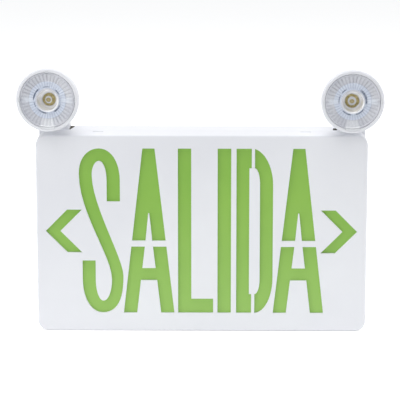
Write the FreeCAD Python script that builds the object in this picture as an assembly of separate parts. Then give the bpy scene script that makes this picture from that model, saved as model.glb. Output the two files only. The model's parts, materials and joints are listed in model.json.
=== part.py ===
"""Emergency exit light: a flat wall sign box with a lamp head at each top corner.

Millimetres, +Z up. The wall face is the plane y = 0, the legend faces -Y, and the
origin is the centre of the wall face. Each sub-part is written to parts/NODE.step.
"""
import FreeCAD, Part
import os
from math import cos, pi, radians, sin

V = FreeCAD.Vector
X_AXIS = V(1, 0, 0)
Y_AXIS = V(0, 1, 0)
Z_AXIS = V(0, 0, 1)

# ---- driving dimensions -------------------------------------------------------------
# sign box
BOX_W = 301.0              # across, x
BOX_H = 183.0              # tall, z
BOX_D = 50.0               # wall face to legend face, y
PART_LINE = -29.0          # y of the joint between back housing and front cover
CORNER_R = 10.0            # corners seen from the front
FACE_EDGE_R = 1.8          # rounding of the legend face's edge
REAR_EDGE_R = 1.0
WALL = 2.2                 # moulded side walls and face
BACK_WALL = 2.5
TOP = BOX_H / 2
SIDE = BOX_W / 2
SEAM_GAP = 0.4             # shadow line between housing and cover
TONGUE = 1.4               # inner tongue that locates the cover
TONGUE_FRONT = -33.5
FIT = 0.2                  # clearance between moulded pieces that slip together

# chevron knock-outs in the legend face
CHEVRON_TIP = 141.6        # |x| of the pointed end
CHEVRON_RUN = 18.8         # sideways reach of each arm
CHEVRON_HALF = 19.6        # half height
CHEVRON_STROKE = 12.7      # width of an arm, measured across x
CHEVRON_Z = 2.7

# cover latches
LATCH_X = 94.7
LATCH_W = 10.0
LATCH_Y = -32.2
LATCH_L = 2.4

# light box behind the legend
DIFFUSER_FRONT = -47.7     # lies against the inside of the legend face
DIFFUSER_T = 1.5
DIFFUSER_W = 288.0
DIFFUSER_H = 172.0
TRAY_W = 284.4
TRAY_H = 170.4
TRAY_BACK = -32.8
TRAY_FRONT = -45.4
SHEET = 1.2
STRIP_L = 260.0
STRIP_W = 7.0
BOARD_T = 1.6
STRIP_LEDS = 16
DIFFUSER_PINS = [(x, z) for x in (-136.0, 0.0, 136.0) for z in (-84.0, 84.0)]

# lamp heads
LAMP_X = 134.0             # |x| of the swivel axis
LAMP_Y = -13.5
AXIS_RISE = 33.0           # tilt axis above the box top
LEFT_PAN = -6.1            # rest angles, degrees: turned outward, nose slightly down
RIGHT_PAN = 2.3
LEFT_TILT = -0.4
RIGHT_TILT = -1.7
FOOT_IN = 121.6            # |x| of the foot's inner side
FOOT_OUT = 149.2
FOOT_HALF_D = 10.0
FOOT_RISE = 6.0
OPENING_IN = 117.6         # |x| where the left opening in the box top begins, at its rear
OPENING_OUT = 146.0
OPENING_HALF_D = 8.2
NOTCH_IN = 119.9           # wire notch beside the right foot
NOTCH_OUT = 123.9
NOTCH_FRONT = -22.6
NOTCH_REAR = -15.6
PLUG_DEPTH = 9.0           # foot plug below the box top
NECK_R = 5.5
NECK_BORE_R = 5.55
WIRE_R = 3.0
BUSH_R = 7.0
BUSH_FLANGE = 1.5
CLIP_T = 1.1
KNUCKLE_R = 6.0
KNUCKLE_HALF = 3.9
EAR_IN = 4.0
EAR_OUT = 7.4
SCREW_R = 1.95
SCREW_HOLE_R = 2.0

# lamp shell, distances s forward of the tilt axis and radii from the lamp axis
RIM_FRONT = 44.0
RIM_R = 28.5
RIM_INNER_R = 25.4
SHELL_REAR = 12.0
SHELL_WALL = 2.1
LENS_R = 24.85
LENS_SEAT = 41.5
LENS_FRONT = 43.7
SEAT_R = 23.7
FLUTES = 40
TAB_R = 26.3               # reach of the optic's locating tabs into the rim
TAB_T = 1.4
TABS = ((0, 3.0), (90, 3.0), (180, 3.0), (270, 13.5))   # angle round the lamp axis, width

# lamp light source
SINK_REAR = 18.4
SINK_T = 2.0
SINK_R = 14.0
STAR_R = 11.0

# electronics
BOARD_Y = -8.4             # rear face of the control board
BOARD_X = (14.0, 118.0)
BOARD_Z = (-78.0, -24.0)
BOARD_HOLES = [(x, z) for x in (19.0, 113.0) for z in (-73.0, -29.0)]
TRAY_BOSSES = [(-134.0, -62.0), (-134.0, 62.0), (134.0, -62.0), (134.0, 62.0), (0.0, -78.0), (0.0, 78.0)]
BATTERY_X = (-118.0, -68.0)
BATTERY_Z = -48.0
CELL_R = 7.2
STRAP_W = 12.0
STRAP_SCREW_Z = 27.5       # either side of the battery's centre line
BUTTON_X = -44.0
PIPE_X = -26.0
BUTTON_Y = -15.0
BUTTON_R = 4.0
BUTTON_TRAVEL = 1.5

# wall interfaces
WIRE_ENTRY_R = 11.1
BOX_SCREW_R = 2.3
BOX_SCREW_SPREAD = 88.9    # horizontal pair for a round junction box
GANG_SCREW_SPREAD = 83.3   # vertical pair for a single-gang box
SLOT_L = 9.0
BOSS_R = 4.0
PILOT_R = 1.5


# ---- shared shapes ------------------------------------------------------------------
def block(x0, x1, y0, y1, z0, z1):
    return Part.makeBox(x1 - x0, y1 - y0, z1 - z0, V(x0, y0, z0))


def rod(x, y, z, radius, length, axis=Y_AXIS):
    return Part.makeCylinder(radius, length, V(x, y, z), axis)


def tube(x, y, z, outer, inner, length, axis=Y_AXIS):
    return rod(x, y, z, outer, length, axis).cut(rod(x, y, z, inner, length, axis))


def panel(width, height, radius, y0, y1):
    """Plate with rounded corners, parallel to the wall, from y0 to y1."""
    plate = block(-width / 2, width / 2, y0, y1, -height / 2, height / 2)
    if radius <= 0:
        return plate
    upright = [e for e in plate.Edges if abs(e.tangentAt(e.FirstParameter).y) > 0.9]
    return plate.makeFillet(radius, upright)


def frame(width, height, radius, wall, y0, y1):
    """Rectangular ring with its wall inside the given outline."""
    inner = panel(width - 2 * wall, height - 2 * wall, max(radius - wall, 0), y0, y1)
    return panel(width, height, radius, y0, y1).cut(inner)


def edges_in_plane(shape, y):
    return [e for e in shape.Edges if all(abs(v.Point.y - y) < 1e-6 for v in e.Vertexes)]


def round_edges_at(shape, y, radius):
    return shape.makeFillet(radius, edges_in_plane(shape, y))


def prism(points, y0, y1):
    """Polygon given as (x, z) pairs, extruded from y0 to y1."""
    corners = [V(x, y0, z) for x, z in points]
    face = Part.Face(Part.makePolygon(corners + corners[:1]))
    return face.extrude(V(0, y1 - y0, 0))


def slot(x, z, radius, overall, y0, y1, upright):
    """Through slot with round ends, upright or level, of the given end-to-end length."""
    half = overall / 2 - radius
    dx, dz = (radius, half) if upright else (half, radius)
    body = block(x - dx, x + dx, y0, y1, z - dz, z + dz)
    ends = [(x, z + s * half) if upright else (x + s * half, z) for s in (-1, 1)]
    return fuse([body] + [rod(end_x, y0, end_z, radius, y1 - y0) for end_x, end_z in ends])


def fuse(shapes):
    """One clean solid out of several that touch or overlap."""
    return shapes[0].multiFuse(shapes[1:]).removeSplitter()


def group(shapes):
    return Part.makeCompound(shapes)


def cut_all(shape, tools):
    return shape.cut(Part.makeCompound(tools)) if tools else shape


def pan_head_screw(x, y, z, shank_r, head_r, head_h, length, axis):
    """Screw whose head sits at the given point, its shank running along the axis."""
    crown = head_h * 0.45
    head = rod(0, 0, crown - head_h, head_r, head_h - crown, Z_AXIS)
    dome = Part.makeCone(head_r * 0.68, head_r, crown, V(0, 0, -head_h), Z_AXIS)
    cross = [block(-w, w, -h, h, -head_h, -crown) for w, h in ((head_r * 0.5, head_r * 0.12),
                                                              (head_r * 0.12, head_r * 0.5))]
    screw = cut_all(fuse([head, dome, rod(0, 0, 0, shank_r, length, Z_AXIS)]), cross)
    screw.Placement = FreeCAD.Placement(V(x, y, z), FreeCAD.Rotation(Z_AXIS, axis))
    return screw


# ---- sign box -----------------------------------------------------------------------
def chevron(side):
    """Arrow knock-out that points outward on the given side (-1 left, +1 right)."""
    tip = CHEVRON_TIP
    outer = tip - CHEVRON_RUN
    points = [(tip, 0), (outer, CHEVRON_HALF), (outer - CHEVRON_STROKE, CHEVRON_HALF),
              (tip - CHEVRON_STROKE, 0), (outer - CHEVRON_STROKE, -CHEVRON_HALF), (outer, -CHEVRON_HALF)]
    return prism([(side * x, z + CHEVRON_Z) for x, z in points], -BOX_D - 1, -BOX_D + WALL + 1)


def latch_slots():
    """Openings in the top and bottom of the cover's skirt, where the hooks catch."""
    half = LATCH_W / 2
    return [block(side * LATCH_X - half, side * LATCH_X + half, LATCH_Y - LATCH_L / 2, LATCH_Y + LATCH_L / 2,
                  min(end * (TOP + 1), end * (TOP - WALL - 1)), max(end * (TOP + 1), end * (TOP - WALL - 1)))
            for side in (-1, 1) for end in (-1, 1)]


def front_cover():
    shell = panel(BOX_W, BOX_H, CORNER_R, -BOX_D, PART_LINE - SEAM_GAP)
    shell = round_edges_at(shell, -BOX_D, FACE_EDGE_R)
    face_in = -BOX_D + WALL
    hollow = panel(BOX_W - 2 * WALL, BOX_H - 2 * WALL, CORNER_R - WALL, face_in, PART_LINE)
    shell = shell.cut(hollow)
    fence = frame(DIFFUSER_W + 3.0, DIFFUSER_H + 3.0, 0, SHEET, face_in, DIFFUSER_FRONT + DIFFUSER_T)
    pins = [rod(x, face_in, z, 1.4, 2.0) for x, z in DIFFUSER_PINS]
    cover = fuse([shell, fence] + pins)
    return cut_all(cover, latch_slots() + [chevron(-1), chevron(1)])


def lamp_opening(side):
    """Opening in the box top where a lamp foot plugs in.

    A wedge stays open beside the left foot, a square notch beside the right one.
    """
    front, rear = LAMP_Y - OPENING_HALF_D, LAMP_Y + OPENING_HALF_D
    if side < 0:
        plan = [(OPENING_IN, rear), (FOOT_IN - 0.4, front)]
    else:
        plan = [(FOOT_IN, rear), (FOOT_IN, NOTCH_REAR), (NOTCH_IN, NOTCH_REAR), (NOTCH_IN, NOTCH_FRONT),
                (NOTCH_OUT, NOTCH_FRONT), (NOTCH_OUT, front)]
    plan += [(OPENING_OUT, front), (OPENING_OUT, rear)]
    corners = [V(side * x, y, TOP - CORNER_R) for x, y in plan]
    return Part.Face(Part.makePolygon(corners + corners[:1])).extrude(V(0, 0, CORNER_R + 1))


def cover_hooks():
    """Barbs on the tongue that spring into the cover's latch slots."""
    half = LATCH_W / 2 - FIT
    rise = WALL - 0.8
    hooks = []
    for side in (-1, 1):
        for end in (-1, 1):
            z0, z1 = sorted((end * (TOP - WALL - TONGUE), end * (TOP - WALL + rise)))
            hooks.append(block(side * LATCH_X - half, side * LATCH_X + half,
                               LATCH_Y - LATCH_L / 2 + FIT, LATCH_Y + LATCH_L / 2 - FIT, z0, z1))
    return hooks


def back_housing():
    body = panel(BOX_W, BOX_H, CORNER_R, PART_LINE, 0)
    body = round_edges_at(body, 0, REAR_EDGE_R)
    inner_w, inner_h = BOX_W - 2 * WALL, BOX_H - 2 * WALL
    body = body.cut(panel(inner_w, inner_h, CORNER_R - WALL, PART_LINE, -BACK_WALL))
    root = frame(inner_w, inner_h, CORNER_R - WALL, TONGUE + FIT, PART_LINE, PART_LINE + 4)
    tongue = frame(inner_w - 2 * FIT, inner_h - 2 * FIT, CORNER_R - WALL - FIT, TONGUE, TONGUE_FRONT, PART_LINE)
    bosses = [rod(x, TRAY_BACK, z, BOSS_R, -TRAY_BACK - BACK_WALL) for x, z in TRAY_BOSSES]
    bosses += [rod(x, BOARD_Y, z, 3.2, -BOARD_Y - BACK_WALL) for x, z in BOARD_HOLES]
    strap_x = sum(BATTERY_X) / 2
    strap_z = [BATTERY_Z + s * STRAP_SCREW_Z for s in (-1, 1)]
    bosses += [rod(strap_x, -BACK_WALL - 8, z, BOSS_R, 8) for z in strap_z]
    status_posts = [block(x - 2.5, x + 2.5, -22.5, -BACK_WALL, -TOP + WALL, -80.0)
                    for x in (BUTTON_X - 10, PIPE_X + 8)]
    body = fuse([body, root, tongue] + cover_hooks() + bosses + status_posts)
    pilots = [rod(x, TRAY_BACK, z, PILOT_R, 14) for x, z in TRAY_BOSSES]
    pilots += [rod(x, BOARD_Y, z, 1.2, 5) for x, z in BOARD_HOLES]
    pilots += [rod(strap_x, -BACK_WALL - 8, z, PILOT_R, 7) for z in strap_z]
    wall_holes = [rod(0, -BACK_WALL - 1, 0, WIRE_ENTRY_R, BACK_WALL + 2)]
    wall_holes += [slot(s * BOX_SCREW_SPREAD / 2, 0, BOX_SCREW_R, SLOT_L, -BACK_WALL - 1, 1, False) for s in (-1, 1)]
    wall_holes += [slot(0, s * GANG_SCREW_SPREAD / 2, BOX_SCREW_R, SLOT_L, -BACK_WALL - 1, 1, True) for s in (-1, 1)]
    knockouts = [tube(x, -1.2, 36.0, WIRE_ENTRY_R, WIRE_ENTRY_R - 0.8, 1.3) for x in (-80.0, 80.0)]
    under = [rod(BUTTON_X, BUTTON_Y, -TOP - 1, BUTTON_R + 0.06, WALL + 2, Z_AXIS),
             rod(PIPE_X, BUTTON_Y, -TOP - 1, 2.5, WALL + 2, Z_AXIS)]
    openings = [lamp_opening(side) for side in (-1, 1)]
    return cut_all(body, pilots + wall_holes + knockouts + under + openings)


def green_diffuser():
    plate = panel(DIFFUSER_W, DIFFUSER_H, 0, DIFFUSER_FRONT, DIFFUSER_FRONT + DIFFUSER_T)
    return cut_all(plate, [rod(x, DIFFUSER_FRONT - 1, z, 1.5, 4) for x, z in DIFFUSER_PINS])


def reflector_tray():
    """Bent white sheet: a floor behind the legend and four turned-up sides."""
    floor = panel(TRAY_W, TRAY_H, 0, TRAY_BACK - SHEET, TRAY_BACK)
    sides = frame(TRAY_W, TRAY_H, 0, SHEET, TRAY_FRONT, TRAY_BACK - SHEET)
    return cut_all(fuse([floor, sides]), [rod(x, TRAY_FRONT, z, 1.6, 20) for x, z in TRAY_BOSSES])


def led_strip(end):
    """Narrow board on the tray's upper (+1) or lower (-1) side."""
    inner = TRAY_H / 2 - SHEET
    z0, z1 = sorted((end * inner, end * (inner - BOARD_T)))
    y0 = TRAY_BACK - SHEET - STRIP_W - 1
    return block(-STRIP_L / 2, STRIP_L / 2, y0, y0 + STRIP_W, z0, z1)


def strip_leds(end):
    """Row of surface-mount LEDs that face the middle of the tray."""
    face = TRAY_H / 2 - SHEET - BOARD_T
    z0, z1 = sorted((end * face, end * (face - 1.1)))
    y = TRAY_BACK - SHEET - 1 - STRIP_W / 2
    pitch = STRIP_L / STRIP_LEDS
    leds = []
    for n in range(STRIP_LEDS):
        x = -STRIP_L / 2 + pitch * (n + 0.5)
        leds.append(block(x - 1.75, x + 1.75, y - 1.4, y + 1.4, z0, z1))
    return group(leds)


def tray_screws():
    seat = TRAY_BACK - SHEET
    return group([pan_head_screw(x, seat, z, PILOT_R, 3.0, 1.9, 12.0, Y_AXIS) for x, z in TRAY_BOSSES])


# ---- electronics ---------------------------------------------------------------------
def control_board():
    board = block(BOARD_X[0], BOARD_X[1], BOARD_Y - BOARD_T, BOARD_Y, BOARD_Z[0], BOARD_Z[1])
    return cut_all(board, [rod(x, BOARD_Y - 3, z, 1.4, 4) for x, z in BOARD_HOLES])


def board_screws():
    front = BOARD_Y - BOARD_T
    return group([pan_head_screw(x, front, z, 1.2, 2.4, 1.5, 6.0, Y_AXIS) for x, z in BOARD_HOLES])


def on_board(x, z, width, height, depth):
    """Box-shaped component seated on the control board's front face."""
    front = BOARD_Y - BOARD_T
    return block(x - width / 2, x + width / 2, front - depth, front, z - height / 2, z + height / 2)


def transformer():
    x, z = 92.0, -50.0
    front = BOARD_Y - BOARD_T
    bobbin = on_board(x, z, 20, 29, 4)
    winding = rod(x, front - 20, z, 9.5, 18)
    core = block(x - 16, x + 16, front - 18.5, front - 4, z - 13.5, z + 13.5)
    legs = [block(x - s * 12.5 - 3.5, x - s * 12.5 + 3.5, front - 4, front, z - 13.5, z + 13.5) for s in (-1, 1)]
    return fuse([core, bobbin, winding] + legs)


def relay():
    body = on_board(63.0, -38.0, 19, 15.5, 15.5)
    return round_edges_at(body, BOARD_Y - BOARD_T - 15.5, 0.8)


def capacitors():
    front = BOARD_Y - BOARD_T
    cans = []
    for x, z, radius, height in ((44.0, -34.0, 5.0, 17.0), (58.0, -66.0, 4.0, 12.5), (68.5, -66.0, 4.0, 12.5)):
        can = rod(x, front - height, z, radius, height)
        cans.append(can.makeChamfer(0.6, edges_in_plane(can, front - height)))
    return group(cans)


def terminal_block():
    x, z, ways, pitch = 22.0, -51.0, 3, 7.5
    body = on_board(x + 0.5, z, 11, ways * pitch, 12)
    front = BOARD_Y - BOARD_T
    wells = []
    for n in range(ways):
        way = z + (n - (ways - 1) / 2) * pitch
        wells.append(rod(x + 1.0, front - 13, way, 2.2, 6))
        wells.append(block(x - 6, x - 1.5, front - 7.5, front - 2.5, way - 2.4, way + 2.4))
    return cut_all(body, wells)


def connectors():
    """Plug headers for the two lamp heads, the strips and the battery."""
    headers = []
    for x in (36.0, 47.0):
        for z in (-71.0, -52.0):
            shell = on_board(x, z, 8.5, 6.5, 7)
            headers.append(shell.cut(on_board(x, z, 6.9, 4.9, 9).cut(on_board(x, z, 9, 9, 2))))
    return group(headers)


def battery_pack():
    """Three cells side by side in one shrink sleeve, their ends showing at both sides."""
    x0, x1 = BATTERY_X
    y = -BACK_WALL - 0.5 - CELL_R
    spread = 2 * CELL_R
    lap = 1.5                                # how far each cell end stands out of the sleeve
    outer = [rod(x0 + lap, y, BATTERY_Z + n * spread, CELL_R, x1 - x0 - 2 * lap, X_AXIS) for n in (-1, 1)]
    flat = block(x0 + lap, x1 - lap, y - CELL_R, y + CELL_R, BATTERY_Z - spread, BATTERY_Z + spread)
    cells = [rod(x0, y, BATTERY_Z + n * spread, CELL_R - 0.6, x1 - x0, X_AXIS) for n in (-1, 0, 1)]
    return fuse([flat] + outer + cells)


def strap_path(offset):
    """Closed outline of the strap's arch over the battery, (y, z) offset outward."""
    top = -BACK_WALL - 0.5 - 2 * CELL_R - offset
    half = 3 * CELL_R + offset
    return top, half


def battery_strap():
    """Bent metal band that holds the battery, with a screw tab at each end."""
    x = sum(BATTERY_X) / 2
    x0, x1 = x - STRAP_W / 2, x + STRAP_W / 2
    tab_front, tab_back = -BACK_WALL - 8 - SHEET, -BACK_WALL - 8
    outer_y, outer_half = strap_path(SHEET + 0.2)
    inner_y, inner_half = strap_path(0.2)
    arch = block(x0, x1, outer_y, tab_back, BATTERY_Z - outer_half, BATTERY_Z + outer_half)
    arch = arch.cut(block(x0, x1, inner_y, tab_back, BATTERY_Z - inner_half, BATTERY_Z + inner_half))
    reach = STRAP_SCREW_Z + 5.0
    tabs = [block(x0, x1, tab_front, tab_back, min(s * inner_half, s * reach) + BATTERY_Z,
                  max(s * inner_half, s * reach) + BATTERY_Z) for s in (-1, 1)]
    holes = [rod(x, tab_front - 1, BATTERY_Z + s * STRAP_SCREW_Z, 1.6, 4) for s in (-1, 1)]
    return cut_all(fuse([arch] + tabs), holes)


def strap_screws():
    x = sum(BATTERY_X) / 2
    seat = -BACK_WALL - 8 - SHEET
    return group([pan_head_screw(x, seat, BATTERY_Z + s * STRAP_SCREW_Z, PILOT_R, 2.9, 1.8, 7.0, Y_AXIS)
                  for s in (-1, 1)])


def status_board():
    return block(BUTTON_X - 12.5, PIPE_X + 10.5, -22.5, -5.0, -80.0, -80.0 + BOARD_T)


def test_switch():
    body = block(BUTTON_X - 3, BUTTON_X + 3, BUTTON_Y - 3, BUTTON_Y + 3, -83.4, -80.0)
    return fuse([body, rod(BUTTON_X, BUTTON_Y, -85.0, 1.75, 2.0, Z_AXIS)])


def light_pipe():
    """Clear rod that carries the charge light to the underside."""
    stem = rod(PIPE_X, BUTTON_Y, -TOP + 0.4, 2.45, 7.6, Z_AXIS)
    collar = rod(PIPE_X, BUTTON_Y, -TOP + WALL, 3.4, 1.2, Z_AXIS)
    return fuse([stem, collar])


def test_button():
    plunger = rod(BUTTON_X, BUTTON_Y, -TOP + 0.3, BUTTON_R, 4.5, Z_AXIS)
    collar = rod(BUTTON_X, BUTTON_Y, -TOP + WALL + 0.05, BUTTON_R + 1.4, 1.2, Z_AXIS)
    button = fuse([plunger, collar])
    rim = [e for e in button.Edges if all(abs(v.Point.z + TOP - 0.3) < 1e-6 for v in e.Vertexes)]
    return button.makeChamfer(0.4, rim)


# ---- lamp swivels --------------------------------------------------------------------
def lamp_foot(side):
    """Block that saddles the box's top corner, with a plug down through the opening."""
    x0, x1 = sorted((side * FOOT_IN, side * FOOT_OUT))
    block_y = (LAMP_Y - FOOT_HALF_D, LAMP_Y + FOOT_HALF_D)
    foot = block(x0, x1, block_y[0], block_y[1], TOP - CORNER_R, TOP + FOOT_RISE)
    upright = [e for e in foot.Edges if abs(e.tangentAt(e.FirstParameter).z) > 0.9]
    foot = foot.makeFillet(2.0, [e for e in upright if abs(e.BoundBox.Center.x) < FOOT_OUT - 1])
    crown = [e for e in foot.Edges if e.BoundBox.ZMin > TOP + FOOT_RISE - 1e-6]
    foot = foot.makeFillet(0.8, crown)
    foot = foot.cut(panel(BOX_W, BOX_H, CORNER_R, PART_LINE, 0))
    x0, x1 = sorted((side * (FOOT_IN + 0.4), side * (OPENING_OUT - 0.2)))
    half = OPENING_HALF_D - 0.2
    plug = block(x0, x1, LAMP_Y - half, LAMP_Y + half, TOP - PLUG_DEPTH, TOP + 1)
    foot = fuse([foot, plug])
    bore = rod(side * LAMP_X, LAMP_Y, TOP - PLUG_DEPTH - 1, BUSH_R, PLUG_DEPTH + FOOT_RISE + 2, Z_AXIS)
    cuts = [bore] + [rod(x, LAMP_Y, TOP - PLUG_DEPTH, 1.3, 7, Z_AXIS) for x in foot_screw_xs(side)]
    if side > 0:
        cuts.append(block(NOTCH_IN, NOTCH_OUT, LAMP_Y - FOOT_HALF_D - 1, NOTCH_REAR, TOP - PLUG_DEPTH - 1,
                          TOP + FOOT_RISE + 1))
    return cut_all(foot, cuts)


def foot_screw_xs(side):
    return [side * (LAMP_X + offset) for offset in (-9.8, 9.8)]


def swivel_bush(side):
    """Dark sleeve round the turret's neck, with a flange that closes the opening from inside."""
    x = side * LAMP_X
    low = TOP - PLUG_DEPTH
    sleeve = rod(x, LAMP_Y, low, BUSH_R, PLUG_DEPTH + FOOT_RISE, Z_AXIS)
    x0, x1 = sorted((side * (OPENING_IN - 1.0), side * (OPENING_OUT + 0.5)))
    flange = block(x0, x1, LAMP_Y - 9.5, LAMP_Y + 9.5, low - BUSH_FLANGE, low)
    bore = rod(x, LAMP_Y, low - 5, NECK_BORE_R, PLUG_DEPTH + FOOT_RISE + 10, Z_AXIS)
    holes = [rod(hole, LAMP_Y, low - 3, 1.5, 4, Z_AXIS) for hole in foot_screw_xs(side)]
    return cut_all(fuse([sleeve, flange]), [bore] + holes)


def foot_screws(side):
    seat = TOP - PLUG_DEPTH - BUSH_FLANGE
    return group([pan_head_screw(x, LAMP_Y, seat, 1.3, 2.4, 1.5, 7.0, Z_AXIS) for x in foot_screw_xs(side)])


def turret(side):
    """Hollow swivel post: flanged base, tapered column and a flat knuckle on top."""
    x = side * LAMP_X
    base = FOOT_RISE + 0.05
    knuckle_z = AXIS_RISE
    slab_z = AXIS_RISE - KNUCKLE_R - 2.2
    outline = [V(0, 0, base), V(9.5, 0, base), V(9.5, 0, base + 1.6), V(8.6, 0, base + 2.2)]
    waist = Part.Arc(V(8.6, 0, base + 2.2), V(6.3, 0, base + 5.0), V(5.4, 0, slab_z))
    lines = [Part.LineSegment(a, b).toShape() for a, b in zip(outline, outline[1:])]
    close = [Part.LineSegment(V(5.4, 0, slab_z), V(0, 0, slab_z)).toShape(),
             Part.LineSegment(V(0, 0, slab_z), V(0, 0, base)).toShape()]
    column = Part.Face(Part.Wire(lines + [waist.toShape()] + close)).revolve(V(0, 0, 0), Z_AXIS, 360)
    slab = block(-KNUCKLE_HALF, KNUCKLE_HALF, -4.6, 4.6, slab_z - 1.0, knuckle_z)
    eye = rod(-KNUCKLE_HALF, 0, knuckle_z, KNUCKLE_R, 2 * KNUCKLE_HALF, X_AXIS)
    clip_z = -PLUG_DEPTH - BUSH_FLANGE - CLIP_T - 0.1
    neck = rod(0, 0, clip_z - 1.8, NECK_R, base - clip_z + 1.8, Z_AXIS)
    groove = tube(0, 0, clip_z, NECK_R + 1, NECK_R - 1.0, CLIP_T + 0.05, Z_AXIS)
    body = fuse([Part.Solid(column), slab, eye, neck])
    wire_way = rod(0, 0, clip_z - 3, WIRE_R, slab_z - clip_z - 2, Z_AXIS)
    wire_exit = rod(0, 0, slab_z - 6, WIRE_R, 12, Y_AXIS)
    pin_hole = rod(-10, 0, knuckle_z, SCREW_HOLE_R, 20, X_AXIS)
    body = cut_all(body, [groove, wire_way, wire_exit, pin_hole])
    body.Placement = turret_placement(side)
    return body


def turret_placement(side):
    angle = LEFT_PAN if side < 0 else RIGHT_PAN
    return FreeCAD.Placement(V(side * LAMP_X, LAMP_Y, TOP), FreeCAD.Rotation(Z_AXIS, angle))


def swivel_clip(side):
    """Open ring that snaps into the groove at the foot of the neck."""
    low = -PLUG_DEPTH - BUSH_FLANGE - CLIP_T - 0.1
    ring = tube(0, 0, low, 7.2, NECK_R - 1.0, CLIP_T, Z_AXIS)
    ring = ring.cut(block(-3.4, 3.4, 0, 10, low - 1, low + 3))
    ring.Placement = turret_placement(side)
    return ring


# ---- lamp heads ------------------------------------------------------------------------
def head_placement(side):
    """From the lamp's own frame (tilt axis at the origin, beam along -Y) to its place."""
    angle = LEFT_TILT if side < 0 else RIGHT_TILT
    tilt = FreeCAD.Placement(V(0, 0, AXIS_RISE), FreeCAD.Rotation(X_AXIS, -angle))
    return turret_placement(side).multiply(tilt)


def spun(points):
    """Solid of revolution round the lamp axis from straight runs of (s, radius)."""
    rim = [V(r, -s, 0) for s, r in points]
    wire = Part.makePolygon(rim + rim[:1])
    return Part.Solid(Part.Face(wire).revolve(V(0, 0, 0), Y_AXIS, 360))


def at(s, radius):
    return V(radius, -s, 0)


def bell(rear, rear_r, belly, front, rim_points):
    """Solid bell: flat rear, one arc for the belly, then straight runs to the front."""
    edges = [Part.LineSegment(at(rear, 0), at(rear, rear_r)).toShape(),
             Part.Arc(at(rear, rear_r), at(*belly), at(*front)).toShape()]
    run = [at(*front)] + [at(s, r) for s, r in rim_points]
    edges += [Part.LineSegment(a, b).toShape() for a, b in zip(run, run[1:])]
    edges.append(Part.LineSegment(run[-1], at(rear, 0)).toShape())
    return Part.Solid(Part.Face(Part.Wire(edges)).revolve(V(0, 0, 0), Y_AXIS, 360))


def lens_tabs(play):
    """Four locating tabs round the optic's flange, grown by play for the notches they fill."""
    ring = tube(0, -LENS_FRONT, 0, TAB_R + play, LENS_R - 1.0, TAB_T + play)
    tabs = []
    for angle, width in TABS:
        half = width / 2 + play
        arm = block(0, TAB_R + 5, -LENS_FRONT - 1, -LENS_FRONT + TAB_T + 1, -half, half)
        arm.rotate(V(0, 0, 0), Y_AXIS, -angle)
        tabs.append(arm.common(ring))
    return tabs


def rim_notches():
    """The tabs' notches, open towards the front of the rim."""
    notches = []
    for tab in lens_tabs(0.1):
        notches += [tab, tab.translated(V(0, -TAB_T, 0))]
    return notches


def lamp_shell(side):
    outer = bell(SHELL_REAR, 7.5, (18.5, 19.8), (36.0, 27.7),
                 [(40.0, RIM_R), (RIM_FRONT - 1.0, RIM_R), (RIM_FRONT - 0.3, RIM_R - 0.5),
                  (RIM_FRONT, RIM_R - 1.05), (RIM_FRONT, 0)])
    cavity = bell(SHELL_REAR + SHELL_WALL, 6.5, (20.4, 18.2), (35.5, 25.0),
                  [(LENS_SEAT, SEAT_R), (LENS_SEAT, RIM_INNER_R),
                   (RIM_FRONT - 0.3, RIM_INNER_R), (RIM_FRONT, RIM_INNER_R + 0.3),
                   (RIM_FRONT + 1.0, RIM_INNER_R + 0.3), (RIM_FRONT + 1.0, 0)])
    ears = []
    for x0, x1 in ((-EAR_OUT, -EAR_IN), (EAR_IN, EAR_OUT)):
        arm = block(x0, x1, -SHELL_REAR - SHELL_WALL + 0.2, 0, -KNUCKLE_R, KNUCKLE_R)
        ears += [arm, rod(x0, 0, 0, KNUCKLE_R, x1 - x0, X_AXIS)]
    posts = [rod(x, -SINK_REAR, 0, 2.6, SINK_REAR - SHELL_REAR - SHELL_WALL + 0.5) for x in (-8.0, 8.0)]
    shell = fuse([outer.cut(cavity)] + ears + posts)
    holes = [rod(-12, 0, 0, SCREW_HOLE_R, 24, X_AXIS), rod(0, -20, 0, 2.6, 12)]
    holes += [rod(x, -SINK_REAR, 0, 1.0, 5) for x in (-8.0, 8.0)]
    shell = cut_all(shell, holes + rim_notches())
    shell.Placement = head_placement(side)
    return shell


def star_wire(s, radius, depth):
    """Closed zigzag round the lamp axis: one crest and one valley for each flute."""
    points = []
    for n in range(2 * FLUTES):
        angle = pi * n / FLUTES
        r = radius - (depth if n % 2 else 0)
        points.append(V(r * cos(angle), -s, r * sin(angle)))
    return Part.makePolygon(points + points[:1])


def lamp_optic(side):
    """Clear collimator: fluted bowl, mounting flange, front well and a lens over the emitter."""
    stations = ((24.2, 8.6), (28.8, 13.6), (34.4, 18.6), (LENS_SEAT, 23.3))
    bowl = Part.makeLoft([star_wire(s, r, r * 0.045) for s, r in stations], True, True)
    flange = rod(0, -LENS_FRONT, 0, LENS_R, LENS_FRONT - LENS_SEAT)
    well = spun([(LENS_FRONT + 1, 0), (LENS_FRONT + 1, 9.9), (34.0, 8.6), (34.0, 6.2), (36.0, 4.6), (36.8, 0)])
    pocket = spun([(23.0, 0), (23.0, 4.4), (29.6, 3.9), (30.6, 2.2), (31.0, 0)])
    optic = fuse([bowl, flange] + lens_tabs(0)).cut(well).cut(pocket)
    optic.Placement = head_placement(side)
    return optic


def lamp_heat_sink(side):
    disc = rod(0, -SINK_REAR - SINK_T, 0, SINK_R, SINK_T)
    fins = [block(x - 0.6, x + 0.6, -SINK_REAR, -SINK_REAR + 2.4, -7.0, 7.0) for x in (-4.4, 4.4)]
    sink = cut_all(fuse([disc] + fins), [rod(x, -30, 0, 1.2, 20) for x in (-8.0, 8.0)])
    sink.Placement = head_placement(side)
    return sink


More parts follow.
